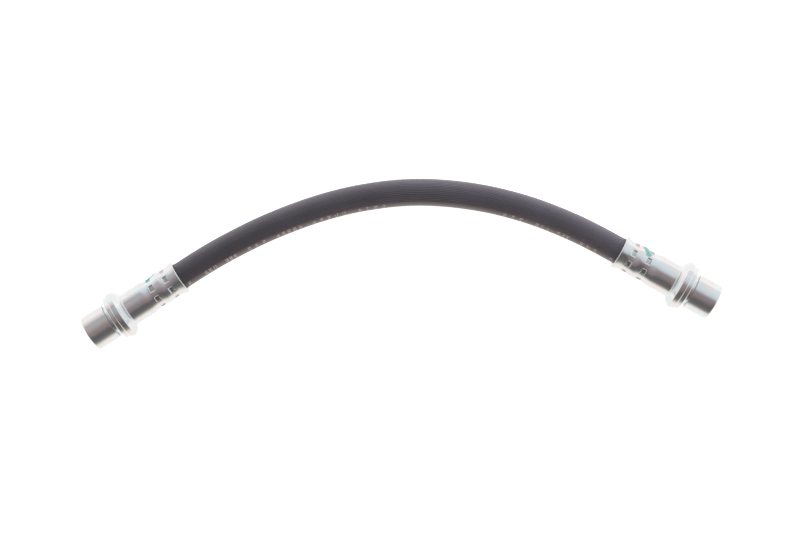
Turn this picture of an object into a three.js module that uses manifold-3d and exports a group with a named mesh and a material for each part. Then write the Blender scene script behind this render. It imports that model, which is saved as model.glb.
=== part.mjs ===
// Hydraulic brake hose with a female port fitting crimped on each end.
// Millimetres, +Z up. The hose lies on a table in the shallow arch that it is moulded to:
// it rests on the widest collar of each fitting and on the crown of the arch.
// +X runs from the left fitting to the right one, +Y towards the crown, and the origin is
// on the table, under the middle of the two fittings.

import * as THREE from 'three';
import Module from 'manifold-3d';
import { mergeVertices } from 'three/addons/utils/BufferGeometryUtils.js';

// Free stretch of the hose seen from above, from the left socket's lip to the right one's.
// The first two points and the last two lie on the axes of the two fittings.
const ROUTE = [
  [-82.4, 9.8], [-74.8, 14.1], [-66.9, 18.2], [-58.9, 21.9], [-50.8, 25.3], [-42.5, 28.3],
  [-34.2, 30.9], [-25.7, 33.1], [-17.1, 34.8], [-8.4, 35.9], [0.4, 36.5], [9.2, 36.4],
  [17.9, 35.6], [26.6, 34.2], [35.1, 32.3], [43.5, 29.8], [51.8, 26.8], [59.8, 23.3],
  [67.7, 19.4], [75.3, 15.1], [82.8, 10.5],
];

// Hose layers, from the bore outwards
const BORE_RADIUS = 1.6;
const LINER_WALL = 0.9;
const BRAID_WALL = 0.35;
const CUSHION_WALL = 0.3;
const COVER_WALL = 1.2;
const LAYER_GAP = 0.1;
const HOSE_SIDES = 12;
const STEP_IN_DIAMETERS = 2;

// Port: threaded bore for a brake pipe's nut, with a cone at its floor that the pipe seals on
const THREAD_MINOR_RADIUS = 4.46;
const THREAD_MAJOR_RADIUS = 5;
const PORT_WALL = 2.1;
const PORT_LENGTH = 9.9;
const PORT_CHAMFER = 0.6;
const PORT_BACK_CHAMFER = 0.25;
const BORE_CHAMFER = 0.7;
const BORE_DEPTH = 11;
const SEAT_RADIUS = 4;
const SEAT_DEPTH = 1.7;
const PASSAGE_RADIUS = 1.05;

// Clip groove, the shoulder that bears on the bracket, and the main collar behind it
const GROOVE_WIDTH = 1.4;
const GROOVE_DEPTH = 1.2;
const SHOULDER_HEIGHT = 1.8;
const SHOULDER_LENGTH = 1.8;
const SHOULDER_CHAMFER = 0.3;
const SHOULDER_RELIEF = 0.2;
const COLLAR_HEIGHT = 0.7;
const COLLAR_LENGTH = 2;
const COLLAR_CHAMFER = 0.3;
const BACK_CONE_LENGTH = 1.5;
const RING_HEIGHT = 1.5;
const RING_LENGTH = 0.5;
const RING_CONE_LENGTH = 0.9;

// Neck and crimped socket
const NECK_LENGTH = 10;
const NECK_STEP = 0.3;
const SOCKET_WALL = 1;
const SOCKET_DEPTH = 15.9;
const SOCKET_CLEARANCE = 0.15;
const LIP_LENGTH = 3.3;
const LIP_FLARE = 0.65;
const LIP_ROUND = 0.3;
const LIP_MOUTH = 0.4;
const NIPPLE_CLEARANCE = 0.05;
const NIPPLE_SETBACK = 2.1;
const NIPPLE_CHAMFER = 0.2;
const HOSE_END_GAP = 0.3;

// Crimp: two rows of pockets pressed in by eight dies, which squeeze the rubber under them
const CRIMP_ROWS = 2;
const CRIMP_DIES = 8;
const CRIMP_ROW_PITCH = 6.2;
const CRIMP_ROW_INSET = 1.6;
const LEFT_CRIMP_TURN = THREE.MathUtils.degToRad(-27);
const RIGHT_CRIMP_TURN = THREE.MathUtils.degToRad(27);
const POCKET_WIDTH = 2.7;
const POCKET_LENGTH = 2.1;
const POCKET_DEPTH = 0.4;
const SQUEEZE_DEPTH = 0.3;
const SQUEEZE_SLOPE = 0.3;
const SQUEEZE_CLEARANCE = 0.3;

const TURN_SEGMENTS = 40;

// Sizes that follow
const linerRadius = BORE_RADIUS + LINER_WALL;
const innerBraidBore = linerRadius + LAYER_GAP;
const innerBraidRadius = innerBraidBore + BRAID_WALL;
const cushionBore = innerBraidRadius + LAYER_GAP;
const cushionRadius = cushionBore + CUSHION_WALL;
const outerBraidBore = cushionRadius + LAYER_GAP;
const outerBraidRadius = outerBraidBore + BRAID_WALL;
const coverBore = outerBraidRadius + LAYER_GAP;
const hoseRadius = coverBore + COVER_WALL;

const portRadius = THREAD_MAJOR_RADIUS + PORT_WALL;
const grooveRadius = portRadius - GROOVE_DEPTH;
const reliefRadius = portRadius + SHOULDER_RELIEF;
const shoulderRadius = portRadius + SHOULDER_HEIGHT;
const collarRadius = shoulderRadius + COLLAR_HEIGHT;
const ringRadius = collarRadius - RING_HEIGHT;
const socketBore = hoseRadius + SOCKET_CLEARANCE;
const crimpRadius = socketBore + SOCKET_WALL;
const neckRadius = crimpRadius + NECK_STEP;
const lipRadius = crimpRadius + LIP_FLARE;
const nippleRadius = BORE_RADIUS * Math.cos(Math.PI / HOSE_SIDES) - NIPPLE_CLEARANCE;

// Stations along a fitting, measured from the port's rim towards the hose
const grooveStart = PORT_LENGTH;
const shoulderStart = grooveStart + GROOVE_WIDTH;
const collarStart = shoulderStart + SHOULDER_LENGTH;
const collarEnd = collarStart + COLLAR_LENGTH;
const ringStart = collarEnd + BACK_CONE_LENGTH;
const ringEnd = ringStart + RING_LENGTH;
const neckStart = ringEnd + RING_CONE_LENGTH;
const neckEnd = neckStart + NECK_LENGTH;
const crimpStart = neckEnd + NECK_STEP;
const crimpEnd = crimpStart + 2 * CRIMP_ROW_INSET + (CRIMP_ROWS - 1) * CRIMP_ROW_PITCH;
const lipEnd = crimpEnd + LIP_LENGTH;
const socketFloor = lipEnd - SOCKET_DEPTH;
const nippleEnd = lipEnd - NIPPLE_SETBACK;
const crimpRows = Array.from(
  { length: CRIMP_ROWS },
  (_, row) => crimpStart + CRIMP_ROW_INSET + row * CRIMP_ROW_PITCH,
);

const wasm = await Module();
wasm.setup();

// Turns a closed geometry into a solid that can be cut
function toSolid(geometry) {
  const bare = geometry.clone();
  bare.deleteAttribute('normal');
  bare.deleteAttribute('uv');
  const merged = mergeVertices(bare, 1e-4);
  return new wasm.Manifold(new wasm.Mesh({
    numProp: 3,
    vertProperties: new Float32Array(merged.attributes.position.array),
    triVerts: new Uint32Array(merged.index.array),
  }));
}

function toGeometry(solid) {
  const mesh = solid.getMesh();
  const geometry = new THREE.BufferGeometry();
  geometry.setAttribute('position', new THREE.BufferAttribute(mesh.vertProperties, 3));
  geometry.setIndex(new THREE.BufferAttribute(mesh.triVerts, 1));
  geometry.computeVertexNormals();
  return geometry;
}

// A profile is a closed list of [radius, station] turned about the station axis
function turned(profile) {
  const points = [...profile, profile[0]].map(([radius, station]) => new THREE.Vector2(radius, station));
  return new THREE.LatheGeometry(points, TURN_SEGMENTS);
}

// The two squeezes that the dies leave on the inner wall of the socket, listed from the lip
function squeezedWall() {
  const top = POCKET_LENGTH / 2;
  const foot = top + SQUEEZE_SLOPE;
  const bore = socketBore - SQUEEZE_DEPTH;
  return [...crimpRows].reverse().flatMap((station) => [
    [socketBore, station + foot],
    [bore, station + top],
    [bore, station - top],
    [socketBore, station - foot],
  ]);
}

// One-piece turned fitting: port, clip groove, shoulder, collar, neck, socket and nipple
function endFitting() {
  const outside = [
    [THREAD_MINOR_RADIUS + BORE_CHAMFER, 0],
    [portRadius - PORT_CHAMFER, 0],
    [portRadius, PORT_CHAMFER],
    [portRadius, grooveStart - PORT_BACK_CHAMFER],
    [portRadius - PORT_BACK_CHAMFER, grooveStart],
    [grooveRadius, grooveStart],
    [grooveRadius, shoulderStart + SHOULDER_RELIEF],
    [reliefRadius, shoulderStart + SHOULDER_RELIEF],
    [reliefRadius, shoulderStart],
    [shoulderRadius - SHOULDER_CHAMFER, shoulderStart],
    [shoulderRadius, shoulderStart + SHOULDER_CHAMFER],
    [shoulderRadius, collarStart],
    [collarRadius - COLLAR_CHAMFER, collarStart],
    [collarRadius, collarStart + COLLAR_CHAMFER],
    [collarRadius, collarEnd],
    [ringRadius, ringStart],
    [ringRadius, ringEnd],
    [neckRadius, neckStart],
    [neckRadius, neckEnd],
    [crimpRadius, crimpStart],
    [crimpRadius, crimpEnd],
    [lipRadius, lipEnd - LIP_ROUND],
    [lipRadius - LIP_ROUND, lipEnd],
  ];
  const inside = [
    [socketBore + LIP_MOUTH, lipEnd],
    [socketBore, lipEnd - LIP_MOUTH],
    ...squeezedWall(),
    [socketBore, socketFloor],
    [nippleRadius, socketFloor],
    [nippleRadius, nippleEnd - NIPPLE_CHAMFER],
    [nippleRadius - NIPPLE_CHAMFER, nippleEnd],
    [PASSAGE_RADIUS, nippleEnd],
    [PASSAGE_RADIUS, BORE_DEPTH + SEAT_DEPTH],
    [SEAT_RADIUS, BORE_DEPTH],
    [THREAD_MINOR_RADIUS, BORE_DEPTH],
    [THREAD_MINOR_RADIUS, BORE_CHAMFER],
  ];
  let solid = toSolid(turned([...outside, ...inside]));
  for (const station of crimpRows) {
    for (let die = 0; die < CRIMP_DIES; die += 1) {
      solid = solid.subtract(toSolid(pocket(station, die)));
    }
  }
  return toGeometry(solid);
}

// The block of metal that one die displaces
function pocket(station, die) {
  const block = new THREE.BoxGeometry(POCKET_WIDTH, POCKET_LENGTH, crimpRadius);
  block.translate(0, station, crimpRadius * 1.5 - POCKET_DEPTH);
  block.rotateY((2 * Math.PI * die) / CRIMP_DIES);
  return block;
}

// The hose lies in a plane that tips from the collars down to the crown of the arch.
// Each fitting's axis is the line through the route's two points at its own end, and this
// is how far along +Y the back edge of its collar lies, which it rests on.
function collarY(end, next) {
  const run = Math.hypot(next[0] - end[0], next[1] - end[1]);
  return end[1] - ((lipEnd - collarEnd) * (next[1] - end[1])) / run;
}

const crownY = Math.max(...ROUTE.map((point) => point[1]));
const restLineY = (collarY(ROUTE[0], ROUTE[1]) + collarY(ROUTE.at(-1), ROUTE.at(-2))) / 2;
const restSlope = (collarRadius - hoseRadius) / (crownY - restLineY);

const route = ROUTE.map(([x, y]) => new THREE.Vector3(x, y, collarRadius - restSlope * (y - restLineY)));
const leftLip = route[0];
const rightLip = route.at(-1);
const leftInward = new THREE.Vector3().subVectors(route[1], leftLip).normalize();
const rightInward = new THREE.Vector3().subVectors(route.at(-2), rightLip).normalize();

// Puts a turned piece on the axis of a fitting, with its station 0 at the port's rim
function seat(mesh, lip, inward, turn) {
  const up = new THREE.Vector3(0, 0, 1).addScaledVector(inward, -inward.z).normalize();
  const side = new THREE.Vector3().crossVectors(inward, up);
  mesh.quaternion.setFromRotationMatrix(new THREE.Matrix4().makeBasis(side, inward, up));
  mesh.rotateY(turn);
  mesh.position.copy(lip).addScaledVector(inward, -lipEnd);
  mesh.updateMatrix();
  return mesh;
}

// Centreline from one square-cut end to the other. Inside a socket it is straight.
const insertion = SOCKET_DEPTH - HOSE_END_GAP;
const inSocket = (lip, inward, share) => lip.clone().addScaledVector(inward, -insertion * share);
const centreline = new THREE.CatmullRomCurve3([
  inSocket(leftLip, leftInward, 1),
  inSocket(leftLip, leftInward, 0.5),
  ...route,
  inSocket(rightLip, rightInward, 0.5),
  inSocket(rightLip, rightInward, 1),
]);
const hoseSteps = Math.round(centreline.getLength() / (STEP_IN_DIAMETERS * 2 * hoseRadius));

function ringPoints(radius) {
  return Array.from({ length: HOSE_SIDES }, (_, side) => {
    const angle = (2 * Math.PI * side) / HOSE_SIDES;
    return new THREE.Vector2(radius * Math.cos(angle), radius * Math.sin(angle));
  });
}

// One layer of the hose, square cut at both ends
function layer(innerRadius, outerRadius) {
  const section = new THREE.Shape(ringPoints(outerRadius));
  section.holes.push(new THREE.Path(ringPoints(innerRadius)));
  return new THREE.ExtrudeGeometry(section, {
    steps: hoseSteps,
    extrudePath: centreline,
    bevelEnabled: false,
  });
}

// The band of rubber that a row of dies squeezes away, as a ring in the fitting's own frame
function squeezeRing(station) {
  const half = POCKET_LENGTH / 2 + SQUEEZE_SLOPE + SQUEEZE_CLEARANCE;
  const floor = hoseRadius - SQUEEZE_DEPTH;
  const beyond = hoseRadius + SOCKET_CLEARANCE;
  return turned([
    [floor, station - half],
    [beyond, station - half],
    [beyond, station + half],
    [floor, station + half],
  ]);
}

function outerCover() {
  let solid = toSolid(layer(coverBore, hoseRadius));
  for (const [lip, inward] of [[leftLip, leftInward], [rightLip, rightInward]]) {
    for (const station of crimpRows) {
      const ring = seat(new THREE.Mesh(squeezeRing(station)), lip, inward, 0);
      solid = solid.subtract(toSolid(ring.geometry.applyMatrix4(ring.matrix)));
    }
  }
  return toGeometry(solid);
}

const rubber = (color, roughness) => new THREE.MeshStandardMaterial({ color, roughness, metalness: 0 });
const zincPlate = () => new THREE.MeshStandardMaterial({ color: '#c3c6cb', roughness: 0.28, metalness: 1 });
const yarn = () => new THREE.MeshStandardMaterial({ color: '#d9d2c0', roughness: 0.9, metalness: 0 });

function named(name, geometry, material) {
  const mesh = new THREE.Mesh(geometry, material);
  mesh.name = name;
  return mesh;
}

const brakeHose = new THREE.Group();
brakeHose.add(
  named('inner_liner', layer(BORE_RADIUS, linerRadius), rubber('#1d1c1e', 0.6)),
  named('inner_braid', layer(innerBraidBore, innerBraidRadius), yarn()),
  named('cushion_layer', layer(cushionBore, cushionRadius), rubber('#232224', 0.7)),
  named('outer_braid', layer(outerBraidBore, outerBraidRadius), yarn()),
  named('outer_cover', outerCover(), rubber('#45434a', 0.62)),
  seat(named('left_end_fitting', endFitting(), zincPlate()), leftLip, leftInward, LEFT_CRIMP_TURN),
  seat(named('right_end_fitting', endFitting(), zincPlate()), rightLip, rightInward, RIGHT_CRIMP_TURN),
);

export default brakeHose;
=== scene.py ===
import math

import bpy
from mathutils import Matrix, Vector


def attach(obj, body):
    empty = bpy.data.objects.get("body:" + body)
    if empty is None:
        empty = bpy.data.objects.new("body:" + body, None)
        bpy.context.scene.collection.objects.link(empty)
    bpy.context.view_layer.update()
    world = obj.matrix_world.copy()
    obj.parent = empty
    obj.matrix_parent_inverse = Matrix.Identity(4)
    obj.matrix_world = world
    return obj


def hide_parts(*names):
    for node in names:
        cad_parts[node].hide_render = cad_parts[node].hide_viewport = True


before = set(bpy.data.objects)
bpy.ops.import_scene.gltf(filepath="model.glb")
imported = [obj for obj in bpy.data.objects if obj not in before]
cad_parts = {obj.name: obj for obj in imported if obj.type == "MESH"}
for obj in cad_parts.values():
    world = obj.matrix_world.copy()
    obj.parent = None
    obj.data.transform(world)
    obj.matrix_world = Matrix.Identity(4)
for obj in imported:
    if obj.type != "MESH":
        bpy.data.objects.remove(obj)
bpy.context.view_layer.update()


# Camera. It looks at the hose from 0.87 m with a long lens, almost straight down and a little
# from the crown's side, turned so that the left fitting shows lower than the right one.
CAMERA_AIM = (0.27, 8.75, 7)
CAMERA_DISTANCE = 870
CAMERA_LENS = 103.87
CAMERA_TILT = 12
CAMERA_TURN = -3.11


def metres(*millimetres):
    return Vector(millimetres) * 0.001


camera_data = bpy.data.cameras.new("camera")
camera_data.lens = CAMERA_LENS
camera = bpy.data.objects.new("camera", camera_data)
camera.rotation_euler = (math.radians(-CAMERA_TILT), 0, math.radians(CAMERA_TURN))
towards_camera = camera.rotation_euler.to_matrix() @ Vector((0, 0, 1))
camera.location = metres(*CAMERA_AIM) + towards_camera * CAMERA_DISTANCE * 0.001
bpy.context.scene.collection.objects.link(camera)
bpy.context.scene.camera = camera


# Route of the hose. It is moulded to a shallow arch and lies on the two main collars and
# on the crown of the arch, so its plane tips. Inside each socket it is straight.
ARCH = [
    (-82.4, 9.8), (-74.8, 14.1), (-66.9, 18.2), (-58.9, 21.9), (-50.8, 25.3), (-42.5, 28.3),
    (-34.2, 30.9), (-25.7, 33.1), (-17.1, 34.8), (-8.4, 35.9), (0.4, 36.5), (9.2, 36.4),
    (17.9, 35.6), (26.6, 34.2), (35.1, 32.3), (43.5, 29.8), (51.8, 26.8), (59.8, 23.3),
    (67.7, 19.4), (75.3, 15.1), (82.8, 10.5),
]
HOSE_RADIUS = 5.1
COLLAR_RADIUS = 9.6
COLLAR_END = 15.1
LIP_END = 41.0
INSERTION = 15.6
SPLINE_STEPS = 16


def collar_y(end, after):
    """Y of a fitting's axis at its main collar, which lies beyond the socket's lip."""
    run = math.dist(end, after)
    return end[1] - (LIP_END - COLLAR_END) * (after[1] - end[1]) / run


def spline(points, steps):
    """Points along a centripetal Catmull-Rom curve through the given ones."""
    ends = [points[0] * 2 - points[1], *points, points[-1] * 2 - points[-2]]
    line = []
    for before, start, stop, after in zip(ends, ends[1:], ends[2:], ends[3:]):
        first, middle, last = ((b - a).length ** 0.5 for a, b in
                               ((before, start), (start, stop), (stop, after)))
        leave = (start - before) / first - (stop - before) / (first + middle) + (stop - start) / middle
        arrive = (stop - start) / middle - (after - start) / (middle + last) + (after - stop) / last
        leave, arrive = leave * middle, arrive * middle
        for step in range(steps):
            t = step / steps
            line.append(start + leave * t + (3 * (stop - start) - 2 * leave - arrive) * t ** 2
                        + (2 * (start - stop) + leave + arrive) * t ** 3)
    return [*line, points[-1]]


rest_y = (collar_y(ARCH[0], ARCH[1]) + collar_y(ARCH[-1], ARCH[-2])) / 2
rest_slope = (COLLAR_RADIUS - HOSE_RADIUS) / (max(y for x, y in ARCH) - rest_y)
arch = [metres(x, y, COLLAR_RADIUS - rest_slope * (y - rest_y)) for x, y in ARCH]
left_lip, right_lip = arch[0], arch[-1]
left_inward = (arch[1] - left_lip).normalized()
right_inward = (arch[-2] - right_lip).normalized()
inserted = INSERTION * 0.001
route = spline(
    [
        left_lip - left_inward * inserted,
        left_lip - left_inward * inserted / 2,
        *arch,
        right_lip - right_inward * inserted / 2,
        right_lip - right_inward * inserted,
    ],
    SPLINE_STEPS,
)
hose_length = sum((b - a).length for a, b in zip(route, route[1:])) * 1000

route_curve = bpy.data.curves.new("route", "CURVE")
route_curve.dimensions = "3D"
route_spline = route_curve.splines.new("POLY")
route_spline.points.add(len(route) - 1)
for point, place in zip(route_spline.points, route):
    point.co = (*place, 1)
route_line = bpy.data.objects.new("route", route_curve)
bpy.context.scene.collection.objects.link(route_line)


# Outer cover of the hose: extruded black EPDM rubber with fine ribs along it and one smooth
# band that carries the print. Each row of crimp dies squeezes it inside the sockets.
COVER_BORE = 3.9
COVER_SEGMENTS = 240
RIBS = 48
RIB_DEPTH = 0.15
BAND_HALF_ANGLE = 29
BAND_ANGLE_LEFT = 57
BAND_ANGLE_RIGHT = 62
BAND_FADE_RADIANS = 0.07
SKIN_DEPTH = 0.4
SQUEEZE_DEPTH = 0.26
SQUEEZE_ROWS = (4.5, 10.7)
SQUEEZE_HALF = 1.2
SQUEEZE_SLOPE = 0.4
SOCKET_STEP = 0.4
FREE_STEP = 1.8
BORE_STEP = 3.6
RUBBER_BLACK = "#3b3640"
# Bloom grey. The painted light on the side away from the print uses it too.
RUBBER_BLOOM_AND_LIGHT = "#625b68"
RUBBER_BAND = "#443334"
RUBBER_SHEEN = "#e4e0e8"
# Angles from the middle of the print band over which the far side is painted lighter, a painted light.
PAINTED_LIGHT_FROM_ANGLE, PAINTED_LIGHT_TO_ANGLE = 95, 138


def add_node(tree, kind, inputs=None, **settings):
    """Adds a node. An input takes a plain value or another node's output socket."""
    node = tree.nodes.new(kind)
    for name, value in settings.items():
        setattr(node, name, value)
    for name, value in (inputs or {}).items():
        if isinstance(value, bpy.types.NodeSocket):
            tree.links.new(value, node.inputs[name])
        else:
            node.inputs[name].default_value = value
    return node


def linear(colour, alpha=1.0):
    """Linear RGBA of an sRGB hex colour."""
    channels = [int(colour[i:i + 2], 16) / 255 for i in (1, 3, 5)]
    return (*(c / 12.92 if c <= 0.04045 else ((c + 0.055) / 1.055) ** 2.4 for c in channels), alpha)


def turned(outline, segments):
    """Mesh of a closed outline of (station, radius) turned about the Y axis, from +Z towards +X."""
    circle = [2 * math.pi * step / segments for step in range(segments)]
    corners = [metres(radius * math.sin(angle), station, radius * math.cos(angle))
               for station, radius in outline for angle in circle]
    faces = []
    for ring in range(len(outline)):
        here, there = ring * segments, (ring + 1) % len(outline) * segments
        for step in range(segments):
            after = (step + 1) % segments
            faces.append((here + step, here + after, there + after, there + step))
    mesh = bpy.data.meshes.new("turned")
    mesh.from_pydata(corners, [], faces)
    mesh.shade_smooth()
    return mesh


def new_tree(name, inputs):
    """A Geometry Nodes tree with a geometry input, the named inputs and a geometry output."""
    tree = bpy.data.node_groups.new(name, "GeometryNodeTree")
    tree.interface.new_socket("Geometry", in_out="OUTPUT", socket_type="NodeSocketGeometry")
    for label, kind in {"Geometry": "Geometry", **inputs, "Material": "Material"}.items():
        tree.interface.new_socket(label, in_out="INPUT", socket_type="NodeSocket" + kind)
    return tree


def shaped(name, mesh, tree, values, sharp_angle):
    """Runs a tree on a mesh and keeps what it makes as a plain mesh."""
    piece = bpy.data.objects.new(name, mesh)
    bpy.context.scene.collection.objects.link(piece)
    modifier = piece.modifiers.new(tree.name, "NODES")
    modifier.node_group = tree
    for socket in tree.interface.items_tree:
        if socket.in_out == "INPUT" and socket.name in values:
            modifier[socket.identifier] = values[socket.name]
    scene_state = bpy.context.evaluated_depsgraph_get()
    made = bpy.data.meshes.new_from_object(
        piece.evaluated_get(scene_state), preserve_all_data_layers=True, depsgraph=scene_state)
    piece.modifiers.clear()
    piece.data = made
    made.name = name
    made.set_sharp_from_angle(angle=math.radians(sharp_angle))
    return piece


# The tree bends a straight tube along the route, turns it as it goes, and presses the ribs
# into its skin. The place before bending stays on the mesh as the attribute as_made.
hose_tree = new_tree("lay hose on route", {
    "Route": "Object",
    "Length": "Float",
    "Ribs": "Int",
    "Rib depth": "Float",
    "Skin radius": "Float",
    "Band half angle": "Float",
    "Turn at start": "Float",
    "Turn at end": "Float",
})
given = add_node(hose_tree, "NodeGroupInput").outputs
place = add_node(hose_tree, "GeometryNodeInputPosition").outputs[0]
along = add_node(hose_tree, "ShaderNodeSeparateXYZ", {0: place}).outputs
own_angle = add_node(
    hose_tree, "ShaderNodeMath", {0: along["X"], 1: along["Z"]}, operation="ARCTAN2").outputs[0]
across = add_node(hose_tree, "ShaderNodeCombineXYZ", {0: along["X"], 2: along["Z"]}).outputs[0]
radius = add_node(hose_tree, "ShaderNodeVectorMath", {0: across}, operation="LENGTH").outputs["Value"]
from_band = add_node(hose_tree, "ShaderNodeMath", {0: own_angle}, operation="ABSOLUTE").outputs[0]
band_end = add_node(
    hose_tree, "ShaderNodeMath", {0: given["Band half angle"], 1: BAND_FADE_RADIANS},
    operation="ADD").outputs[0]
ribbed = add_node(
    hose_tree, "ShaderNodeMapRange",
    {"Value": from_band, "From Min": given["Band half angle"], "From Max": band_end},
    interpolation_type="SMOOTHSTEP").outputs[0]
on_skin = add_node(
    hose_tree, "ShaderNodeMath", {0: radius, 1: given["Skin radius"]}, operation="GREATER_THAN").outputs[0]
phase = add_node(
    hose_tree, "ShaderNodeMath", {0: own_angle, 1: given["Ribs"]}, operation="MULTIPLY").outputs[0]
wave = add_node(hose_tree, "ShaderNodeMath", {0: phase}, operation="COSINE").outputs[0]
groove = add_node(
    hose_tree, "ShaderNodeMapRange", {"Value": wave, "From Min": -1.0, "From Max": 1.0}).outputs[0]
ribbed_skin = add_node(hose_tree, "ShaderNodeMath", {0: ribbed, 1: on_skin}, operation="MULTIPLY").outputs[0]
groove = add_node(hose_tree, "ShaderNodeMath", {0: groove, 1: ribbed_skin}, operation="MULTIPLY").outputs[0]
drop = add_node(
    hose_tree, "ShaderNodeMath", {0: groove, 1: given["Rib depth"]}, operation="MULTIPLY").outputs[0]
new_radius = add_node(hose_tree, "ShaderNodeMath", {0: radius, 1: drop}, operation="SUBTRACT").outputs[0]
turn = add_node(
    hose_tree, "ShaderNodeMapRange",
    {"Value": along["Y"], "From Max": given["Length"],
     "To Min": given["Turn at start"], "To Max": given["Turn at end"]}).outputs[0]
angle = add_node(hose_tree, "ShaderNodeMath", {0: own_angle, 1: turn}, operation="ADD").outputs[0]
sine = add_node(hose_tree, "ShaderNodeMath", {0: angle}, operation="SINE").outputs[0]
cosine = add_node(hose_tree, "ShaderNodeMath", {0: angle}, operation="COSINE").outputs[0]
sideways = add_node(hose_tree, "ShaderNodeMath", {0: sine, 1: new_radius}, operation="MULTIPLY").outputs[0]
upwards = add_node(hose_tree, "ShaderNodeMath", {0: cosine, 1: new_radius}, operation="MULTIPLY").outputs[0]
line = add_node(hose_tree, "GeometryNodeObjectInfo", {"Object": given["Route"]}).outputs["Geometry"]
sample = add_node(
    hose_tree, "GeometryNodeSampleCurve", {"Curves": line, "Length": along["Y"]}, mode="LENGTH").outputs
side = add_node(
    hose_tree, "ShaderNodeVectorMath", {0: sample["Tangent"], 1: (0, 0, 1)},
    operation="CROSS_PRODUCT").outputs[0]
side = add_node(hose_tree, "ShaderNodeVectorMath", {0: side}, operation="NORMALIZE").outputs[0]
up = add_node(
    hose_tree, "ShaderNodeVectorMath", {0: side, 1: sample["Tangent"]}, operation="CROSS_PRODUCT").outputs[0]
up = add_node(hose_tree, "ShaderNodeVectorMath", {0: up}, operation="NORMALIZE").outputs[0]
side = add_node(
    hose_tree, "ShaderNodeVectorMath", {0: side, "Scale": sideways}, operation="SCALE").outputs[0]
up = add_node(hose_tree, "ShaderNodeVectorMath", {0: up, "Scale": upwards}, operation="SCALE").outputs[0]
outwards = add_node(hose_tree, "ShaderNodeVectorMath", {0: side, 1: up}, operation="ADD").outputs[0]
laid = add_node(
    hose_tree, "ShaderNodeVectorMath", {0: sample["Position"], 1: outwards}, operation="ADD").outputs[0]
kept = add_node(
    hose_tree, "GeometryNodeStoreNamedAttribute",
    {"Geometry": given["Geometry"], "Name": "as_made", "Value": place}, data_type="FLOAT_VECTOR")
kept = add_node(
    hose_tree, "GeometryNodeStoreNamedAttribute",
    {"Geometry": kept.outputs[0], "Name": "groove", "Value": groove}, data_type="FLOAT")
moved = add_node(hose_tree, "GeometryNodeSetPosition", {"Geometry": kept.outputs[0], "Position": laid})
real = add_node(hose_tree, "GeometryNodeRealizeInstances", {"Geometry": moved.outputs[0]})
finished = add_node(
    hose_tree, "GeometryNodeSetMaterial", {"Geometry": real.outputs[0], "Material": given["Material"]})
add_node(hose_tree, "NodeGroupOutput", {"Geometry": finished.outputs[0]})


def new_material(name):
    """An empty node material with its output, and the material's node tree."""
    material = bpy.data.materials.new(name)
    material.use_nodes = True
    material.node_tree.nodes.clear()
    return material, material.node_tree


# Extruded EPDM: dull, with faint streaks along it from the die, and painted shade that darkens the grooves.
# Bloom greys it in patches. The side away from the print is a painted light, mixed further towards the bloom
# grey. The band is smoother and a little browner.
cover_rubber, tree = new_material("extruded EPDM rubber")
made_at = add_node(tree, "ShaderNodeAttribute", attribute_name="as_made").outputs["Vector"]
made_axes = add_node(tree, "ShaderNodeSeparateXYZ", {0: made_at}).outputs
streak_place = add_node(
    tree, "ShaderNodeVectorMath", {0: made_at, 1: (1.0, 0.03, 1.0)}, operation="MULTIPLY").outputs[0]
streaks = add_node(
    tree, "ShaderNodeTexNoise", {"Vector": streak_place, "Scale": 900.0, "Detail": 3.0}).outputs["Fac"]
grain = add_node(
    tree, "ShaderNodeTexNoise", {"Vector": made_at, "Scale": 2600.0, "Detail": 3.0}).outputs["Fac"]
patches = add_node(
    tree, "ShaderNodeTexNoise", {"Vector": made_at, "Scale": 60.0, "Detail": 4.0}).outputs["Fac"]
groove_mark = add_node(tree, "ShaderNodeAttribute", attribute_name="groove").outputs["Fac"]
around = add_node(
    tree, "ShaderNodeMath", {0: made_axes["X"], 1: made_axes["Z"]}, operation="ARCTAN2").outputs[0]
around = add_node(tree, "ShaderNodeMath", {0: around}, operation="ABSOLUTE").outputs[0]
on_band = add_node(
    tree, "ShaderNodeMapRange",
    {"Value": around, "From Min": math.radians(BAND_HALF_ANGLE + 3),
     "From Max": math.radians(BAND_HALF_ANGLE - 2)}).outputs[0]
bloom_and_painted_light = add_node(
    tree, "ShaderNodeMapRange",
    {"Value": patches, "From Min": 0.35, "From Max": 0.7, "To Min": -0.15, "To Max": 0.15}).outputs[0]
from_left = add_node(
    tree, "ShaderNodeMapRange",
    {"Value": made_axes["Y"], "From Max": hose_length * 0.001, "To Min": 0.1, "To Max": 0.85}).outputs[0]
bloom_and_painted_light = add_node(tree, "ShaderNodeMath", {0: bloom_and_painted_light, 1: from_left}, operation="ADD").outputs[0]
# Painted light: the side away from the print is painted lighter by mixing further towards the bloom grey, on
# top of the bloom's own grey.
painted_light_side = add_node(
    tree, "ShaderNodeMapRange",
    {"Value": around, "From Min": math.radians(PAINTED_LIGHT_FROM_ANGLE),
     "From Max": math.radians(PAINTED_LIGHT_TO_ANGLE), "To Max": 1.4}).outputs[0]
bloom_and_painted_light = add_node(tree, "ShaderNodeMath", {0: bloom_and_painted_light, 1: painted_light_side}, operation="ADD").outputs[0]
colour = add_node(
    tree, "ShaderNodeMix", {0: bloom_and_painted_light, 6: linear(RUBBER_BLACK), 7: linear(RUBBER_BLOOM_AND_LIGHT)},
    data_type="RGBA", clamp_factor=False).outputs[2]
colour = add_node(
    tree, "ShaderNodeMix", {0: on_band, 6: colour, 7: linear(RUBBER_BAND)}, data_type="RGBA").outputs[2]
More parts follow.
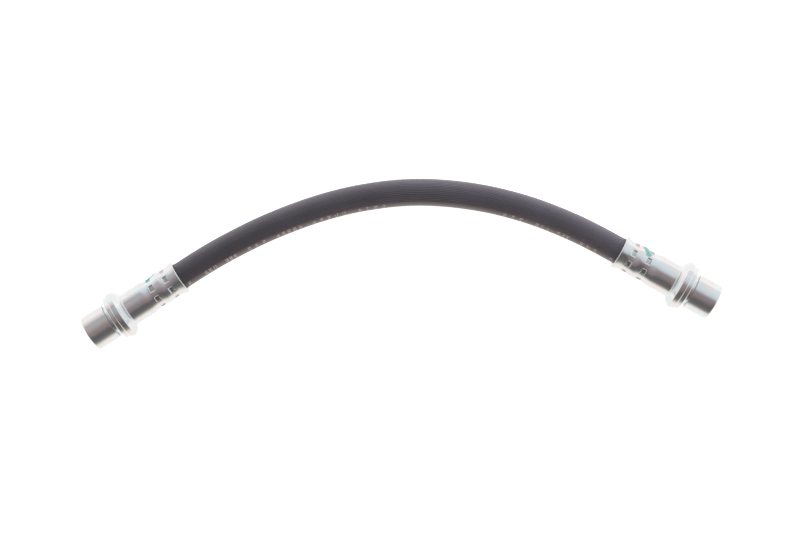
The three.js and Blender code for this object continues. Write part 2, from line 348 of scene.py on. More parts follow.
# Painted shade: the grooves between the ribs are painted darker, down to 0.42 at their floor. The streaks
# then vary the tone at random.
shade = add_node(
    tree, "ShaderNodeMapRange", {"Value": groove_mark, "To Min": 1.02, "To Max": 0.42}).outputs[0]
streak_shade = add_node(
    tree, "ShaderNodeMapRange",
    {"Value": streaks, "From Min": 0.3, "From Max": 0.7, "To Min": 0.85, "To Max": 1.12}).outputs[0]
shade = add_node(tree, "ShaderNodeMath", {0: shade, 1: streak_shade}, operation="MULTIPLY").outputs[0]
colour = add_node(
    tree, "ShaderNodeVectorMath", {0: colour, "Scale": shade}, operation="SCALE").outputs[0]
dullness = add_node(
    tree, "ShaderNodeMapRange", {"Value": streaks, "To Min": 0.35, "To Max": 0.5}).outputs[0]
relief = add_node(
    tree, "ShaderNodeBump", {"Strength": 0.35, "Distance": 0.00006, "Height": grain}).outputs[0]
surface = add_node(
    tree, "ShaderNodeBsdfPrincipled",
    {"Base Color": colour, "Roughness": dullness, "Normal": relief, "IOR": 1.7,
     "Sheen Weight": 0.25, "Sheen Roughness": 0.5, "Sheen Tint": linear(RUBBER_SHEEN)}).outputs[0]
add_node(tree, "ShaderNodeOutputMaterial", {"Surface": surface})


def cover_outline():
    """Skin of the cover with its four squeezes, then its bore, as (station, radius)."""
    stations = [step * SOCKET_STEP for step in range(int(INSERTION / SOCKET_STEP))]
    free = hose_length - 2 * INSERTION
    count = round(free / FREE_STEP)
    stations = [*stations, *(INSERTION + free * step / count for step in range(count + 1)),
                *(hose_length - station for station in reversed(stations))]
    skin = []
    for station in stations:
        inside = min(station, hose_length - station)
        off_row = min(abs(inside - row) for row in SQUEEZE_ROWS)
        squeezed = min(1, max(0, 1 - (off_row - SQUEEZE_HALF) / SQUEEZE_SLOPE))
        skin.append((station, HOSE_RADIUS - SQUEEZE_DEPTH * squeezed))
    return [*skin, *bore_outline(COVER_BORE)]


def bore_outline(bore):
    """The bore of a layer, from the right end of the hose to the left one."""
    count = round(hose_length / BORE_STEP)
    return [(hose_length * step / count, bore) for step in range(count, -1, -1)]


def laid_hose(name, outline, segments, skin_radius, material):
    """A layer of the hose, bent along the route by the tree. Ribs go where the skin is that wide."""
    return shaped(
        name, turned(outline, segments), hose_tree,
        {
            "Route": route_line,
            "Length": hose_length * 0.001,
            "Ribs": RIBS,
            "Rib depth": RIB_DEPTH * 0.001,
            "Skin radius": skin_radius * 0.001,
            "Band half angle": math.radians(BAND_HALF_ANGLE),
            "Turn at start": math.radians(BAND_ANGLE_LEFT),
            "Turn at end": math.radians(BAND_ANGLE_RIGHT),
            "Material": material,
        },
        sharp_angle=60)


hose_cover = laid_hose("hose_cover", cover_outline(), COVER_SEGMENTS, HOSE_RADIUS - SKIN_DEPTH, cover_rubber)
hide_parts("outer_cover")
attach(hose_cover, "root")


# Print on the smooth band: white ink from a wheel, worn and grey. The real words are left
# out, and short plain bars of the same height and spacing stand in their place.
INK_RADIUS = HOSE_RADIUS + 0.015
INK_THICKNESS = 0.02
INK_TOP_ANGLE = -22
INK_BOTTOM_ANGLE = 8
INK_ROWS = 7
INK_GREY = "#b3aaa8"
INK_BAR_LENGTH = 1.3
INK_GROUPS = (
    (17.0, 1, 0), (24.3, 3, 2.0), (33.6, 3, 1.8), (43.3, 3, 3.1), (55.3, 5, 2.3), (70.1, 5, 3.0),
    (88.4, 4, 3.1), (145.0, 3, 3.2), (158.0, 3, 2.2), (166.8, 3, 2.0), (176.5, 3, 3.0), (189.2, 1, 0),
)

bar_corners, bar_faces = [], []
for start, count, pitch in INK_GROUPS:
    for number in range(count):
        first_corner = len(bar_corners)
        station = start + number * pitch
        for row in range(INK_ROWS + 1):
            ink_angle = math.radians(
                INK_TOP_ANGLE + (INK_BOTTOM_ANGLE - INK_TOP_ANGLE) * row / INK_ROWS)
            for ink_radius in (INK_RADIUS, INK_RADIUS - INK_THICKNESS):
                for ink_station in (station, station + INK_BAR_LENGTH):
                    bar_corners.append(metres(
                        ink_radius * math.sin(ink_angle), ink_station, ink_radius * math.cos(ink_angle)))
        for row in range(INK_ROWS):
            top = first_corner + 4 * row
            for here, there in ((0, 1), (1, 3), (3, 2), (2, 0)):
                bar_faces.append((top + here, top + there, top + 4 + there, top + 4 + here))
        bar_faces.append((first_corner, first_corner + 2, first_corner + 3, first_corner + 1))
        end = first_corner + 4 * INK_ROWS
        bar_faces.append((end, end + 1, end + 3, end + 2))
bars = bpy.data.meshes.new("bars")
bars.from_pydata(bar_corners, [], bar_faces)

# Marking ink: thin, matt, and broken where the rubber shows through. The bars have no ribs,
# because no bar is as wide as the skin radius that they give the tree.
RIBLESS = 1.0
ink, tree = new_material("worn marking ink")
ink_place = add_node(tree, "ShaderNodeAttribute", attribute_name="as_made").outputs["Vector"]
wear = add_node(
    tree, "ShaderNodeTexNoise", {"Vector": ink_place, "Scale": 1400.0, "Detail": 3.0}).outputs["Fac"]
worn = add_node(
    tree, "ShaderNodeMapRange", {"Value": wear, "From Min": 0.5, "From Max": 0.62}).outputs[0]
colour = add_node(
    tree, "ShaderNodeMix", {0: worn, 6: linear(INK_GREY), 7: linear(RUBBER_BAND)},
    data_type="RGBA").outputs[2]
surface = add_node(tree, "ShaderNodeBsdfPrincipled", {"Base Color": colour, "Roughness": 0.7}).outputs[0]
add_node(tree, "ShaderNodeOutputMaterial", {"Surface": surface})

print_marks = shaped(
    "print_marks", bars, hose_tree,
    {
        "Route": route_line,
        "Length": hose_length * 0.001,
        "Turn at start": math.radians(BAND_ANGLE_LEFT),
        "Turn at end": math.radians(BAND_ANGLE_RIGHT),
        "Skin radius": RIBLESS,
        "Material": ink,
    },
    sharp_angle=30)
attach(print_marks, "root")


# Layers under the cover, which only the cut ends inside the sockets would show: two braids of
# synthetic yarn with a thin rubber cushion between them, over an extruded rubber liner.
LAYER_SEGMENTS = 64
LAYER_STEP = 3.0
LINER_BORE, LINER_RADIUS = 1.6, 2.5
INNER_BRAID_BORE, INNER_BRAID_RADIUS = 2.6, 2.95
CUSHION_BORE, CUSHION_RADIUS = 3.05, 3.35
OUTER_BRAID_BORE, OUTER_BRAID_RADIUS = 3.45, 3.8
BRAID_LAY = 9.0
BRAID_STRANDS = 16
LINER_BLACK = "#202022"
YARN_CREAM = "#d3cab5"
YARN_SHADE = "#8f866f"

# Extruded liner rubber: smooth, black and a little shiny.
liner_rubber, tree = new_material("extruded liner rubber")
made_at = add_node(tree, "ShaderNodeAttribute", attribute_name="as_made").outputs["Vector"]
grain = add_node(
    tree, "ShaderNodeTexNoise", {"Vector": made_at, "Scale": 1500.0, "Detail": 2.0}).outputs["Fac"]
dullness = add_node(tree, "ShaderNodeMapRange", {"Value": grain, "To Min": 0.4, "To Max": 0.55}).outputs[0]
relief = add_node(
    tree, "ShaderNodeBump", {"Strength": 0.2, "Distance": 0.00003, "Height": grain}).outputs[0]
surface = add_node(
    tree, "ShaderNodeBsdfPrincipled",
    {"Base Color": linear(LINER_BLACK), "Roughness": dullness, "Normal": relief}).outputs[0]
add_node(tree, "ShaderNodeOutputMaterial", {"Surface": surface})

# Braided yarn: two sets of strands cross at the same angle, cream, with painted shade in the gaps between
# them.
braid_yarn, tree = new_material("braided synthetic yarn")
made_at = add_node(tree, "ShaderNodeAttribute", attribute_name="as_made").outputs["Vector"]
made_axes = add_node(tree, "ShaderNodeSeparateXYZ", {0: made_at}).outputs
around = add_node(
    tree, "ShaderNodeMath", {0: made_axes["X"], 1: made_axes["Z"]}, operation="ARCTAN2").outputs[0]
advance = add_node(
    tree, "ShaderNodeMath", {0: made_axes["Y"], 1: 2 * math.pi / (BRAID_LAY * 0.001)},
    operation="MULTIPLY").outputs[0]
strands = []
for operation in ("ADD", "SUBTRACT"):
    helix = add_node(tree, "ShaderNodeMath", {0: advance, 1: around}, operation=operation).outputs[0]
    helix = add_node(
        tree, "ShaderNodeMath", {0: helix, 1: BRAID_STRANDS / 2}, operation="MULTIPLY").outputs[0]
    strands.append(add_node(tree, "ShaderNodeMath", {0: helix}, operation="COSINE").outputs[0])
crossing = add_node(tree, "ShaderNodeMath", {0: strands[0], 1: strands[1]}, operation="MULTIPLY").outputs[0]
crossing = add_node(tree, "ShaderNodeMapRange", {"Value": crossing, "From Min": -1.0}).outputs[0]
# Painted shade: the gaps between the strands mix towards the darker yarn colour.
colour = add_node(
    tree, "ShaderNodeMix", {0: crossing, 6: linear(YARN_SHADE), 7: linear(YARN_CREAM)},
    data_type="RGBA").outputs[2]
relief = add_node(
    tree, "ShaderNodeBump", {"Strength": 0.6, "Distance": 0.0001, "Height": crossing}).outputs[0]
surface = add_node(
    tree, "ShaderNodeBsdfPrincipled",
    {"Base Color": colour, "Roughness": 0.85, "Normal": relief}).outputs[0]
add_node(tree, "ShaderNodeOutputMaterial", {"Surface": surface})


def layer_outline(bore, radius):
    """Skin and bore of a plain layer, as (station, radius)."""
    count = round(hose_length / LAYER_STEP)
    return [*((hose_length * step / count, radius) for step in range(count + 1)), *bore_outline(bore)]


for name, bore, radius, node, material, finish in (
    ("hose_liner", LINER_BORE, LINER_RADIUS, "inner_liner", liner_rubber, "liner_rubber"),
    ("hose_inner_braid", INNER_BRAID_BORE, INNER_BRAID_RADIUS, "inner_braid", braid_yarn, "braid_yarn"),
    ("hose_cushion", CUSHION_BORE, CUSHION_RADIUS, "cushion_layer", liner_rubber, "liner_rubber"),
    ("hose_outer_braid", OUTER_BRAID_BORE, OUTER_BRAID_RADIUS, "outer_braid", braid_yarn, "braid_yarn"),
):
    layer = laid_hose(name, layer_outline(bore, radius), LAYER_SEGMENTS, HOSE_RADIUS, material)
    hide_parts(node)
    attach(layer, "root")
bpy.data.objects.remove(route_line)


# End fittings: each is turned from one bar of steel and zinc plated. Port with a pipe thread
# and a cone seat, clip groove, bracket shoulder, main collar, small ring, neck, and a socket
# that eight dies crimp on the hose in two rows. Stations run from the port's rim to the hose.
FITTING_SEGMENTS = 256
FINE_STEP = 0.15
THREAD_STEP = 0.125
COARSE_STEP = 1.6
ROUND_STEPS = 4
CRIMP_RADIUS = 5.98
THREAD_MINOR = 4.46
SKIN_FROM = 5.8
FITTING_OUTSIDE = (
    (0, 5.16, 0.08), (0, 6.5, 0.12), (0.6, 7.1, 0.25), (9.78, 7.1, 0.06), (9.9, 6.98, 0.04),
    (9.9, 5.9, 0.12), (11.5, 5.9, 0.1), (11.5, 7.3, 0.04), (11.3, 7.3, 0.04), (11.3, 8.6, 0.08),
    (11.6, 8.9, 0.1), (13.1, 8.9, 0.08), (13.1, 9.3, 0.08), (13.4, 9.6, 0.12), (15.3, 9.6, 0.15),
    (16.5, 8.35, 0.1), (17.0, 7.95, 0.15), (17.7, 6.55, 0.3), (25.7, 6.55, 0.9),
    (28.4, CRIMP_RADIUS, 0.5), (37.6, CRIMP_RADIUS, 1.0), (40.7, 6.9, 0.15), (41, 6.6, 0.12),
)
FITTING_INSIDE = (
    (41, 5.65, 0.08), (40.6, 5.25, 0.1),
    (37.45, 5.25, 0.1), (37.15, 4.95, 0.1), (35.05, 4.95, 0.1), (34.75, 5.25, 0.1),
    (31.25, 5.25, 0.1), (30.95, 4.95, 0.1), (28.85, 4.95, 0.1), (28.55, 5.25, 0.1),
    (25.1, 5.25, 0.15), (25.1, 1.495, 0.1), (38.7, 1.495, 0.05), (38.9, 1.295, 0.05),
    (38.9, 1.05, 0.04), (12.7, 1.05, 0.1), (11, 4, 0.08),
    (11, THREAD_MINOR, 0.05), (0.7, THREAD_MINOR, 0.08),
)
DIES = 8
FIRST_ROW = 29.9
ROW_PITCH = 6.2
POCKET_WIDTH = 2.7
POCKET_LENGTH = 2.0
POCKET_DEPTH = 0.36
POCKET_EDGE = 0.32
CRIMP_BULGE = 0.42
CRIMP_REACH = 0.9
THREAD_PITCH = 1.0
THREAD_DEPTH = 0.54
THREAD_START, THREAD_STOP = 0.9, 9.6
THREAD_CREST, THREAD_ROOT = 0.06, 0.44
THREAD_FADE_FROM, THREAD_FADE_TO = -0.1, 0.5
ZINC_COOL = "#cacfd2"
ZINC_WARM = "#cfcaca"
ZINC_GREEN = "#c5ccca"
PAINT_TEAL = "#52b3a7"
PAINT_HALF_WIDTH = 0.85
PAINT_RADIUS = 6.25


def step_between(start, stop):
    """How far apart the rings may be between two corners, finer where the tree shapes the wall."""
    threaded = start[1] == stop[1] == THREAD_MINOR
    crimped = start[1] == stop[1] == CRIMP_RADIUS
    return THREAD_STEP if threaded else FINE_STEP if crimped else COARSE_STEP


def rounded(corners):
    """Closed outline through (station, radius, round) corners, each one rounded off."""
    outline = []
    for before, corner, after in zip([corners[-1], *corners], corners, [*corners[1:], corners[0]]):
        here = Vector(corner[:2])
        back, ahead = Vector(before[:2]) - here, Vector(after[:2]) - here
        cut = min(corner[2], back.length * 0.45, ahead.length * 0.45)
        start, stop = here + back.normalized() * cut, here + ahead.normalized() * cut
        for step in range(ROUND_STEPS + 1):
            t = step / ROUND_STEPS
            outline.append(start * (1 - t) ** 2 + here * 2 * t * (1 - t) + stop * t ** 2)
        run = ahead.length - cut - min(after[2], ahead.length * 0.45)
        count = max(1, math.ceil(run / step_between(corner, after)))
        end = stop + ahead.normalized() * run
        outline.extend(stop.lerp(end, step / count) for step in range(1, count))
    return [tuple(point) for point in outline]


# The tree presses the die pockets into the socket's skin, leaves a low bulge between the two
# rows, and cuts the pipe thread's helix into the wall of the port.
fitting_tree = new_tree("crimp and thread a fitting", {
    "Dies": "Float",
    "Die turn": "Float",
    "First row": "Float",
    "Row pitch": "Float",
    "Pocket width": "Float",
    "Pocket length": "Float",
    "Pocket depth": "Float",
    "Pocket edge": "Float",
    "Bulge": "Float",
    "Thread pitch": "Float",
    "Thread depth": "Float",
    "Thread start": "Float",
    "Thread stop": "Float",
})
given = add_node(fitting_tree, "NodeGroupInput").outputs
place = add_node(fitting_tree, "GeometryNodeInputPosition").outputs[0]
along = add_node(fitting_tree, "ShaderNodeSeparateXYZ", {0: place}).outputs
angle = add_node(
    fitting_tree, "ShaderNodeMath", {0: along["X"], 1: along["Z"]}, operation="ARCTAN2").outputs[0]
across = add_node(fitting_tree, "ShaderNodeCombineXYZ", {0: along["X"], 2: along["Z"]}).outputs[0]
radius = add_node(fitting_tree, "ShaderNodeVectorMath", {0: across}, operation="LENGTH").outputs["Value"]
die_half = add_node(
    fitting_tree, "ShaderNodeMath", {0: math.pi, 1: given["Dies"]}, operation="DIVIDE").outputs[0]
die_low = add_node(fitting_tree, "ShaderNodeMath", {0: die_half, 1: -1.0}, operation="MULTIPLY").outputs[0]
from_die = add_node(
    fitting_tree, "ShaderNodeMath", {0: angle, 1: given["Die turn"]}, operation="SUBTRACT").outputs[0]
from_die = add_node(
    fitting_tree, "ShaderNodeMath", {0: from_die, 1: die_half, 2: die_low}, operation="WRAP").outputs[0]
from_die = add_node(
    fitting_tree, "ShaderNodeMath", {0: from_die, 1: radius}, operation="MULTIPLY").outputs[0]
row_half = add_node(
    fitting_tree, "ShaderNodeMath", {0: given["Row pitch"], 1: 0.5}, operation="MULTIPLY").outputs[0]
row_low = add_node(fitting_tree, "ShaderNodeMath", {0: row_half, 1: -1.0}, operation="MULTIPLY").outputs[0]
past_row = add_node(
    fitting_tree, "ShaderNodeMath", {0: along["Y"], 1: given["First row"]}, operation="SUBTRACT").outputs[0]
from_row = add_node(
    fitting_tree, "ShaderNodeMath", {0: past_row, 1: row_half, 2: row_low}, operation="WRAP").outputs[0]
pressed = None
for distance, size in ((from_die, "Pocket width"), (from_row, "Pocket length")):
    distance = add_node(fitting_tree, "ShaderNodeMath", {0: distance}, operation="ABSOLUTE").outputs[0]
    outer = add_node(
        fitting_tree, "ShaderNodeMath", {0: given[size], 1: 0.5}, operation="MULTIPLY").outputs[0]
    inner = add_node(
        fitting_tree, "ShaderNodeMath", {0: outer, 1: given["Pocket edge"]}, operation="SUBTRACT").outputs[0]
    within = add_node(
        fitting_tree, "ShaderNodeMapRange", {"Value": distance, "From Min": outer, "From Max": inner},
        interpolation_type="SMOOTHSTEP").outputs[0]
    pressed = within if pressed is None else add_node(
        fitting_tree, "ShaderNodeMath", {0: pressed, 1: within}, operation="MULTIPLY").outputs[0]
pressed = add_node(
    fitting_tree, "ShaderNodeMath", {0: pressed, 1: given["Pocket depth"]}, operation="MULTIPLY").outputs[0]
row_share = add_node(
    fitting_tree, "ShaderNodeMath", {0: past_row, 1: given["Row pitch"]}, operation="DIVIDE").outputs[0]
between = add_node(fitting_tree, "ShaderNodeMath", {0: row_share, 1: 0.5}, operation="SUBTRACT").outputs[0]
between = add_node(fitting_tree, "ShaderNodeMath", {0: between}, operation="ABSOLUTE").outputs[0]
in_rows = add_node(
    fitting_tree, "ShaderNodeMath", {0: between, 1: CRIMP_REACH}, operation="LESS_THAN").outputs[0]
bulged = add_node(
    fitting_tree, "ShaderNodeMapRange",
    {"Value": between, "From Min": 0.5, "From Max": 0.0, "To Max": given["Bulge"]},
    interpolation_type="SMOOTHSTEP").outputs[0]
on_skin = add_node(
    fitting_tree, "ShaderNodeMath", {0: radius, 1: SKIN_FROM * 0.001}, operation="GREATER_THAN").outputs[0]
in_crimp = add_node(
    fitting_tree, "ShaderNodeMath", {0: in_rows, 1: on_skin}, operation="MULTIPLY").outputs[0]
pressed = add_node(
    fitting_tree, "ShaderNodeMath", {0: pressed, 1: in_crimp}, operation="MULTIPLY").outputs[0]
bulged = add_node(
    fitting_tree, "ShaderNodeMath", {0: bulged, 1: in_crimp}, operation="MULTIPLY").outputs[0]
crimped = add_node(
    fitting_tree, "ShaderNodeMath", {0: bulged, 1: pressed}, operation="SUBTRACT").outputs[0]
turns = add_node(
    fitting_tree, "ShaderNodeMath", {0: along["Y"], 1: given["Thread pitch"]}, operation="DIVIDE").outputs[0]
share = add_node(
    fitting_tree, "ShaderNodeMath", {0: angle, 1: 2 * math.pi}, operation="DIVIDE").outputs[0]
turns = add_node(fitting_tree, "ShaderNodeMath", {0: turns, 1: share}, operation="ADD").outputs[0]
flank = add_node(fitting_tree, "ShaderNodeMath", {0: turns, 1: 0.5}, operation="PINGPONG").outputs[0]
cut = add_node(
    fitting_tree, "ShaderNodeMapRange",
    {"Value": flank, "From Min": THREAD_CREST, "From Max": THREAD_ROOT,
     "To Max": given["Thread depth"]}).outputs[0]
past_start = add_node(
    fitting_tree, "ShaderNodeMath", {0: along["Y"], 1: given["Thread start"]},
    operation="SUBTRACT").outputs[0]
before_stop = add_node(
    fitting_tree, "ShaderNodeMath", {0: given["Thread stop"], 1: along["Y"]},
    operation="SUBTRACT").outputs[0]
in_thread = add_node(
    fitting_tree, "ShaderNodeMath", {0: past_start, 1: before_stop}, operation="MINIMUM").outputs[0]
in_thread = add_node(
    fitting_tree, "ShaderNodeMapRange",
    {"Value": in_thread, "From Min": THREAD_FADE_FROM * 0.001,
     "From Max": THREAD_FADE_TO * 0.001}).outputs[0]
on_wall = add_node(
    fitting_tree, "ShaderNodeMath", {0: radius, 1: THREAD_MINOR * 0.001, 2: 0.00001},
    operation="COMPARE").outputs[0]
cut = add_node(fitting_tree, "ShaderNodeMath", {0: cut, 1: in_thread}, operation="MULTIPLY").outputs[0]
cut = add_node(fitting_tree, "ShaderNodeMath", {0: cut, 1: on_wall}, operation="MULTIPLY").outputs[0]
grown = add_node(fitting_tree, "ShaderNodeMath", {0: crimped, 1: cut}, operation="ADD").outputs[0]
outwards = add_node(fitting_tree, "ShaderNodeVectorMath", {0: across}, operation="NORMALIZE").outputs[0]
outwards = add_node(
    fitting_tree, "ShaderNodeVectorMath", {0: outwards, "Scale": grown}, operation="SCALE").outputs[0]
kept = add_node(
    fitting_tree, "GeometryNodeStoreNamedAttribute",
    {"Geometry": given["Geometry"], "Name": "as_made", "Value": place}, data_type="FLOAT_VECTOR")
kept = add_node(
    fitting_tree, "GeometryNodeStoreNamedAttribute",
    {"Geometry": kept.outputs[0], "Name": "pressed", "Value": pressed}, data_type="FLOAT")
moved = add_node(fitting_tree, "GeometryNodeSetPosition", {"Geometry": kept.outputs[0], "Offset": outwards})
real = add_node(fitting_tree, "GeometryNodeRealizeInstances", {"Geometry": moved.outputs[0]})
finished = add_node(
    fitting_tree, "GeometryNodeSetMaterial", {"Geometry": real.outputs[0], "Material": given["Material"]})
add_node(fitting_tree, "NodeGroupOutput", {"Geometry": finished.outputs[0]})


# Bright zinc plate with a clear passivate: a metal with fine rings from the lathe tool and soft patches of
# blue, rose and green where the passivate is thicker or thinner. The pockets that the dies pressed are
# painted darker by their depth, a painted shade.
zinc_plate, tree = new_material("zinc plate with clear passivate")
made_at = add_node(tree, "ShaderNodeAttribute", attribute_name="as_made").outputs["Vector"]
made_axes = add_node(tree, "ShaderNodeSeparateXYZ", {0: made_at}).outputs
off_axis = add_node(
    tree, "ShaderNodeVectorMath", {0: made_at, 1: (1.0, 0.0, 1.0)}, operation="MULTIPLY").outputs[0]
off_axis = add_node(tree, "ShaderNodeVectorMath", {0: off_axis}, operation="LENGTH").outputs["Value"]
tool_place = add_node(tree, "ShaderNodeCombineXYZ", {0: made_axes["Y"], 1: off_axis}).outputs[0]
tool_rings = add_node(
    tree, "ShaderNodeTexNoise", {"Vector": tool_place, "Scale": 2200.0, "Detail": 2.0}).outputs["Fac"]
object_place = add_node(tree, "ShaderNodeTexCoord").outputs["Object"]
patches = add_node(
    tree, "ShaderNodeTexNoise", {"Vector": object_place, "Scale": 230.0, "Detail": 2.0}).outputs["Fac"]
other_patches = add_node(
    tree, "ShaderNodeTexNoise", {"Vector": object_place, "Scale": 420.0, "Detail": 2.0}).outputs["Color"]
other_patches = add_node(tree, "ShaderNodeSeparateXYZ", {0: other_patches}).outputs["Y"]
rose = add_node(
    tree, "ShaderNodeMapRange", {"Value": patches, "From Min": 0.42, "From Max": 0.6}).outputs[0]
green = add_node(
    tree, "ShaderNodeMapRange",
    {"Value": other_patches, "From Min": 0.5, "From Max": 0.7, "To Max": 0.7}).outputs[0]
colour = add_node(
    tree, "ShaderNodeMix", {0: rose, 6: linear(ZINC_COOL), 7: linear(ZINC_WARM)},
    data_type="RGBA").outputs[2]
colour = add_node(
    tree, "ShaderNodeMix", {0: green, 6: colour, 7: linear(ZINC_GREEN)}, data_type="RGBA").outputs[2]
dullness = add_node(
    tree, "ShaderNodeMapRange", {"Value": tool_rings, "To Min": 0.1, "To Max": 0.26}).outputs[0]
relief = add_node(
    tree, "ShaderNodeBump", {"Strength": 0.25, "Distance": 0.00002, "Height": tool_rings}).outputs[0]
# Painted shade: the colour darkens with the depth of the die pockets, down to 0.72 at the full depth.
pressed_mark = add_node(tree, "ShaderNodeAttribute", attribute_name="pressed").outputs["Fac"]
pocket_painted_shade = add_node(
    tree, "ShaderNodeMapRange",
    {"Value": pressed_mark, "From Max": POCKET_DEPTH * 0.001, "To Min": 1.0, "To Max": 0.72}).outputs[0]
colour = add_node(tree, "ShaderNodeVectorMath", {0: colour, "Scale": pocket_painted_shade}, operation="SCALE").outputs[0]
paint_mark = add_node(tree, "ShaderNodeAttribute", attribute_name="paint").outputs["Fac"]
bristles = add_node(
    tree, "ShaderNodeTexNoise", {"Vector": object_place, "Scale": 1100.0, "Detail": 3.0}).outputs["Fac"]
painted = add_node(tree, "ShaderNodeMath", {0: paint_mark, 1: bristles}, operation="ADD").outputs[0]
painted = add_node(
    tree, "ShaderNodeMapRange",
    {"Value": painted, "From Min": 0.7, "From Max": 1.0, "To Max": 0.85}).outputs[0]
colour = add_node(
    tree, "ShaderNodeMix", {0: painted, 6: colour, 7: linear(PAINT_TEAL)}, data_type="RGBA").outputs[2]
metal = add_node(tree, "ShaderNodeMath", {0: 1.0, 1: painted}, operation="SUBTRACT").outputs[0]
surface = add_node(
    tree, "ShaderNodeBsdfPrincipled",
    {"Base Color": colour, "Metallic": metal, "Roughness": dullness, "Normal": relief}).outputs[0]
add_node(tree, "ShaderNodeOutputMaterial", {"Surface": surface})


def seated(lip, inward):
    """Matrix that puts a turned piece on a fitting's axis, with station 0 at the port's rim."""
    up = (Vector((0, 0, 1)) - inward * inward.z).normalized()
    side = inward.cross(up)
    matrix = Matrix((side, inward, up)).transposed().to_4x4()
    matrix.translation = lip - inward * LIP_END * 0.001
    return matrix


def dab_paint(mesh, start, stop):
    """Marks one brush stroke between two (station, angle) points, as the attribute paint."""
    start, stop = (Vector((station, math.radians(angle) * PAINT_RADIUS)) for station, angle in (start, stop))
    run = stop - start
    marks = []
    for made in mesh.attributes["as_made"].data:
        x, station, z = made.vector * 1000
        off_axis = math.hypot(x, z)
        mark = 0.0
        if off_axis > SKIN_FROM:
            here = Vector((station, math.atan2(x, z) * PAINT_RADIUS))
            share = min(1.0, max(0.0, (here - start).dot(run) / run.length_squared))
            mark = max(0.0, 1 - (here - start - run * share).length / (2 * PAINT_HALF_WIDTH))
        marks.append(mark)
    mesh.attributes.new("paint", "FLOAT", "POINT").data.foreach_set("value", marks)


for name, node, lip, inward, die_turn, paint_from, paint_to in (
    ("left_fitting", "left_end_fitting", left_lip, left_inward, -27, (29.9, -74), (32.2, -84)),
    ("right_fitting", "right_end_fitting", right_lip, right_inward, 27, (31.1, 52), (32.8, 73)),
):
    fitting = shaped(
        name, turned(rounded([*FITTING_OUTSIDE, *FITTING_INSIDE]), FITTING_SEGMENTS), fitting_tree,
        {
            "Dies": float(DIES),
            "Die turn": math.radians(die_turn),
            "First row": FIRST_ROW * 0.001,
            "Row pitch": ROW_PITCH * 0.001,
            "Pocket width": POCKET_WIDTH * 0.001,
            "Pocket length": POCKET_LENGTH * 0.001,
            "Pocket depth": POCKET_DEPTH * 0.001,
            "Pocket edge": POCKET_EDGE * 0.001,
            "Bulge": CRIMP_BULGE * 0.001,
            "Thread pitch": THREAD_PITCH * 0.001,
            "Thread depth": THREAD_DEPTH * 0.001,
            "Thread start": THREAD_START * 0.001,
            "Thread stop": THREAD_STOP * 0.001,
            "Material": zinc_plate,
        },
        sharp_angle=50)
    dab_paint(fitting.data, paint_from, paint_to)
    fitting.data.transform(seated(lip, inward))
    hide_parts(node)
    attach(fitting, "root")


# Table and light. A white table lit from below stands in a dome of pale cloth, bright behind
# the hose and dim where the camera and its stand are. Only the metal and the rubber see it.
TABLE_SIZE = 6000
DOME_RADIUS = 10000
DOME_RINGS = 12
DOME_SIDES = 48
DOME_STRENGTH = 1.3
BRIGHT_SIDE = (0.673, 0.74, 0)
DIM_SIDE = (0.246, -0.969, 0)
FAR_SIDE = (-0.49, 0.872, 0)
CLOTH_FROM, CLOTH_TO = -30, 100
BRIGHT_CLOTH = (
    (11, "#b6b3b5"), (17.7, "#bfc4c9"), (23, "#d5dde3"), (30, "#dee7ec"), (38, "#dfe9ee"),
    (50, "#ebf2f5"), (64, "#f0f3f6"), (80, "#f1f2f4"),
)
DIM_CLOTH = (
    (-28, "#bdb9bb"), (-12, "#b2acae"), (0, "#a29798"), (8, "#9d8a89"), (18, "#93878a"),
    (24, "#887e7f"), (30, "#7a7374"), (37, "#6a6667"), (43, "#656263"), (50, "#6b6a6b"),
    (56, "#6f6e6e"), (62, "#6a6969"), (70, "#83807c"), (77, "#9a938c"), (84, "#c0b5a9"), (90, "#f8f2e8"),
)
WHITE_CLOTH = "#f6f6f5"
BRIGHT_BLEND_FROM, BRIGHT_BLEND_TO = 6, 17
WHITE_BLEND_FROM, WHITE_BLEND_TO = 50, 72
TABLE_WHITE = "#f0f0ef"
TABLE_GLOW = "#fffcf8"
STUDIO_WHITE = "#f2f3f5"


def stage_piece(name, corners, faces, material):
    """A piece of the studio, with its corners in millimetres."""
    mesh = bpy.data.meshes.new(name)
    mesh.from_pydata([metres(*corner) for corner in corners], [], faces)
    mesh.materials.append(material)
    piece = bpy.data.objects.new(name, mesh)
    bpy.context.scene.collection.objects.link(piece)
    return piece


def cloth_ramp(tree, angle, stops):
    """A colour ramp over an angle in radians, with its stops given in degrees."""
    share = add_node(
        tree, "ShaderNodeMapRange",
        {"Value": angle, "From Min": math.radians(CLOTH_FROM),
         "From Max": math.radians(CLOTH_TO)}).outputs[0]
    ramp = add_node(tree, "ShaderNodeValToRGB", {"Fac": share})
    elements = ramp.color_ramp.elements
    while len(elements) < len(stops):
        elements.new(1.0)
    for element, (degrees, colour) in zip(elements, stops):
        element.position = (degrees - CLOTH_FROM) / (CLOTH_TO - CLOTH_FROM)
        element.color = linear(colour)
    return ramp.outputs[0]


table_white, tree = new_material("white acrylic table")
surface = add_node(
    tree, "ShaderNodeBsdfPrincipled",
    {"Base Color": linear(TABLE_WHITE), "Roughness": 0.6, "Emission Color": linear(TABLE_GLOW),
     "Emission Strength": 0.9}).outputs[0]
add_node(tree, "ShaderNodeOutputMaterial", {"Surface": surface})
half = TABLE_SIZE / 2
stage_piece(
    "table", ((-half, -half, 0), (half, -half, 0), (half, half, 0), (-half, half, 0)), [(0, 1, 2, 3)],
    table_white)

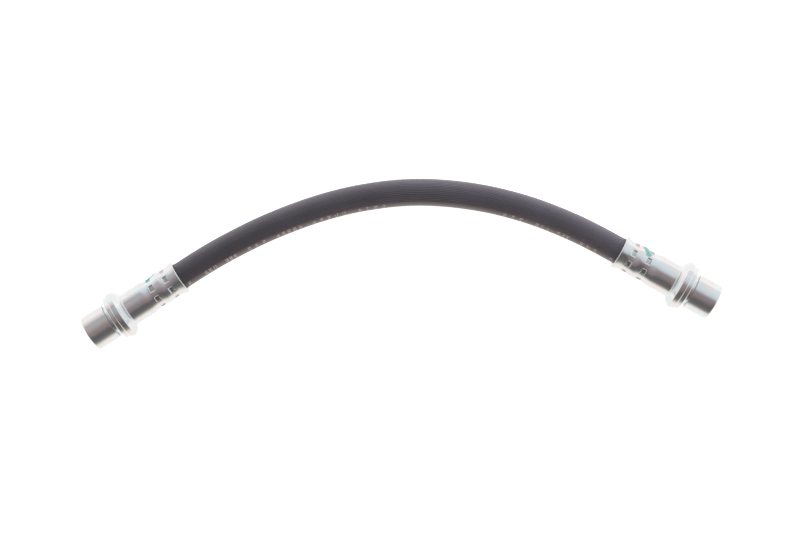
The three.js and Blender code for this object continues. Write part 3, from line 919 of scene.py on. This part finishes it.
cloth, tree = new_material("pale cloth")
cloth_place = add_node(tree, "ShaderNodeTexCoord").outputs["Object"]
cloth_place = add_node(
    tree, "ShaderNodeVectorRotate", {"Vector": cloth_place, "Angle": math.radians(CAMERA_TILT)},
    rotation_type="X_AXIS").outputs[0]
overhead = add_node(tree, "ShaderNodeSeparateXYZ", {0: cloth_place}).outputs["Z"]
angles = []
for towards in (BRIGHT_SIDE, DIM_SIDE, FAR_SIDE):
    reach = add_node(
        tree, "ShaderNodeVectorMath", {0: cloth_place, 1: towards}, operation="DOT_PRODUCT").outputs["Value"]
    angles.append(add_node(tree, "ShaderNodeMath", {0: reach, 1: overhead}, operation="ARCTAN2").outputs[0])
bright_part = add_node(
    tree, "ShaderNodeMapRange",
    {"Value": angles[0], "From Min": math.radians(BRIGHT_BLEND_FROM),
     "From Max": math.radians(BRIGHT_BLEND_TO)}).outputs[0]
white_part = add_node(
    tree, "ShaderNodeMapRange",
    {"Value": angles[2], "From Min": math.radians(WHITE_BLEND_FROM),
     "From Max": math.radians(WHITE_BLEND_TO)}).outputs[0]
colour = add_node(
    tree, "ShaderNodeMix",
    {0: bright_part, 6: cloth_ramp(tree, angles[1], DIM_CLOTH),
     7: cloth_ramp(tree, angles[0], BRIGHT_CLOTH)},
    data_type="RGBA").outputs[2]
colour = add_node(
    tree, "ShaderNodeMix", {0: white_part, 6: colour, 7: linear(WHITE_CLOTH)}, data_type="RGBA").outputs[2]
glow = add_node(tree, "ShaderNodeEmission", {"Color": colour, "Strength": DOME_STRENGTH}).outputs[0]
add_node(tree, "ShaderNodeOutputMaterial", {"Surface": glow})

dome_corners, dome_faces = [], []
for ring in range(DOME_RINGS + 1):
    rise = math.pi / 2 * ring / DOME_RINGS
    for sector in range(DOME_SIDES):
        bearing = 2 * math.pi * sector / DOME_SIDES
        dome_corners.append((
            DOME_RADIUS * math.cos(rise) * math.cos(bearing),
            DOME_RADIUS * math.cos(rise) * math.sin(bearing),
            DOME_RADIUS * math.sin(rise)))
        if ring:
            below, beside = (ring - 1) * DOME_SIDES, (sector + 1) % DOME_SIDES
            here = ring * DOME_SIDES
            dome_faces.append((below + sector, here + sector, here + beside, below + beside))
dome = stage_piece("dome", dome_corners, dome_faces, cloth)
dome.visible_camera = False

studio = bpy.data.worlds.new("studio")
studio.use_nodes = True
studio.node_tree.nodes.clear()
backdrop = add_node(
    studio.node_tree, "ShaderNodeBackground", {"Color": linear(STUDIO_WHITE), "Strength": 0.9}).outputs[0]
add_node(studio.node_tree, "ShaderNodeOutputWorld", {"Surface": backdrop})
bpy.context.scene.world = studio
bpy.context.scene.view_settings.view_transform = "Standard"
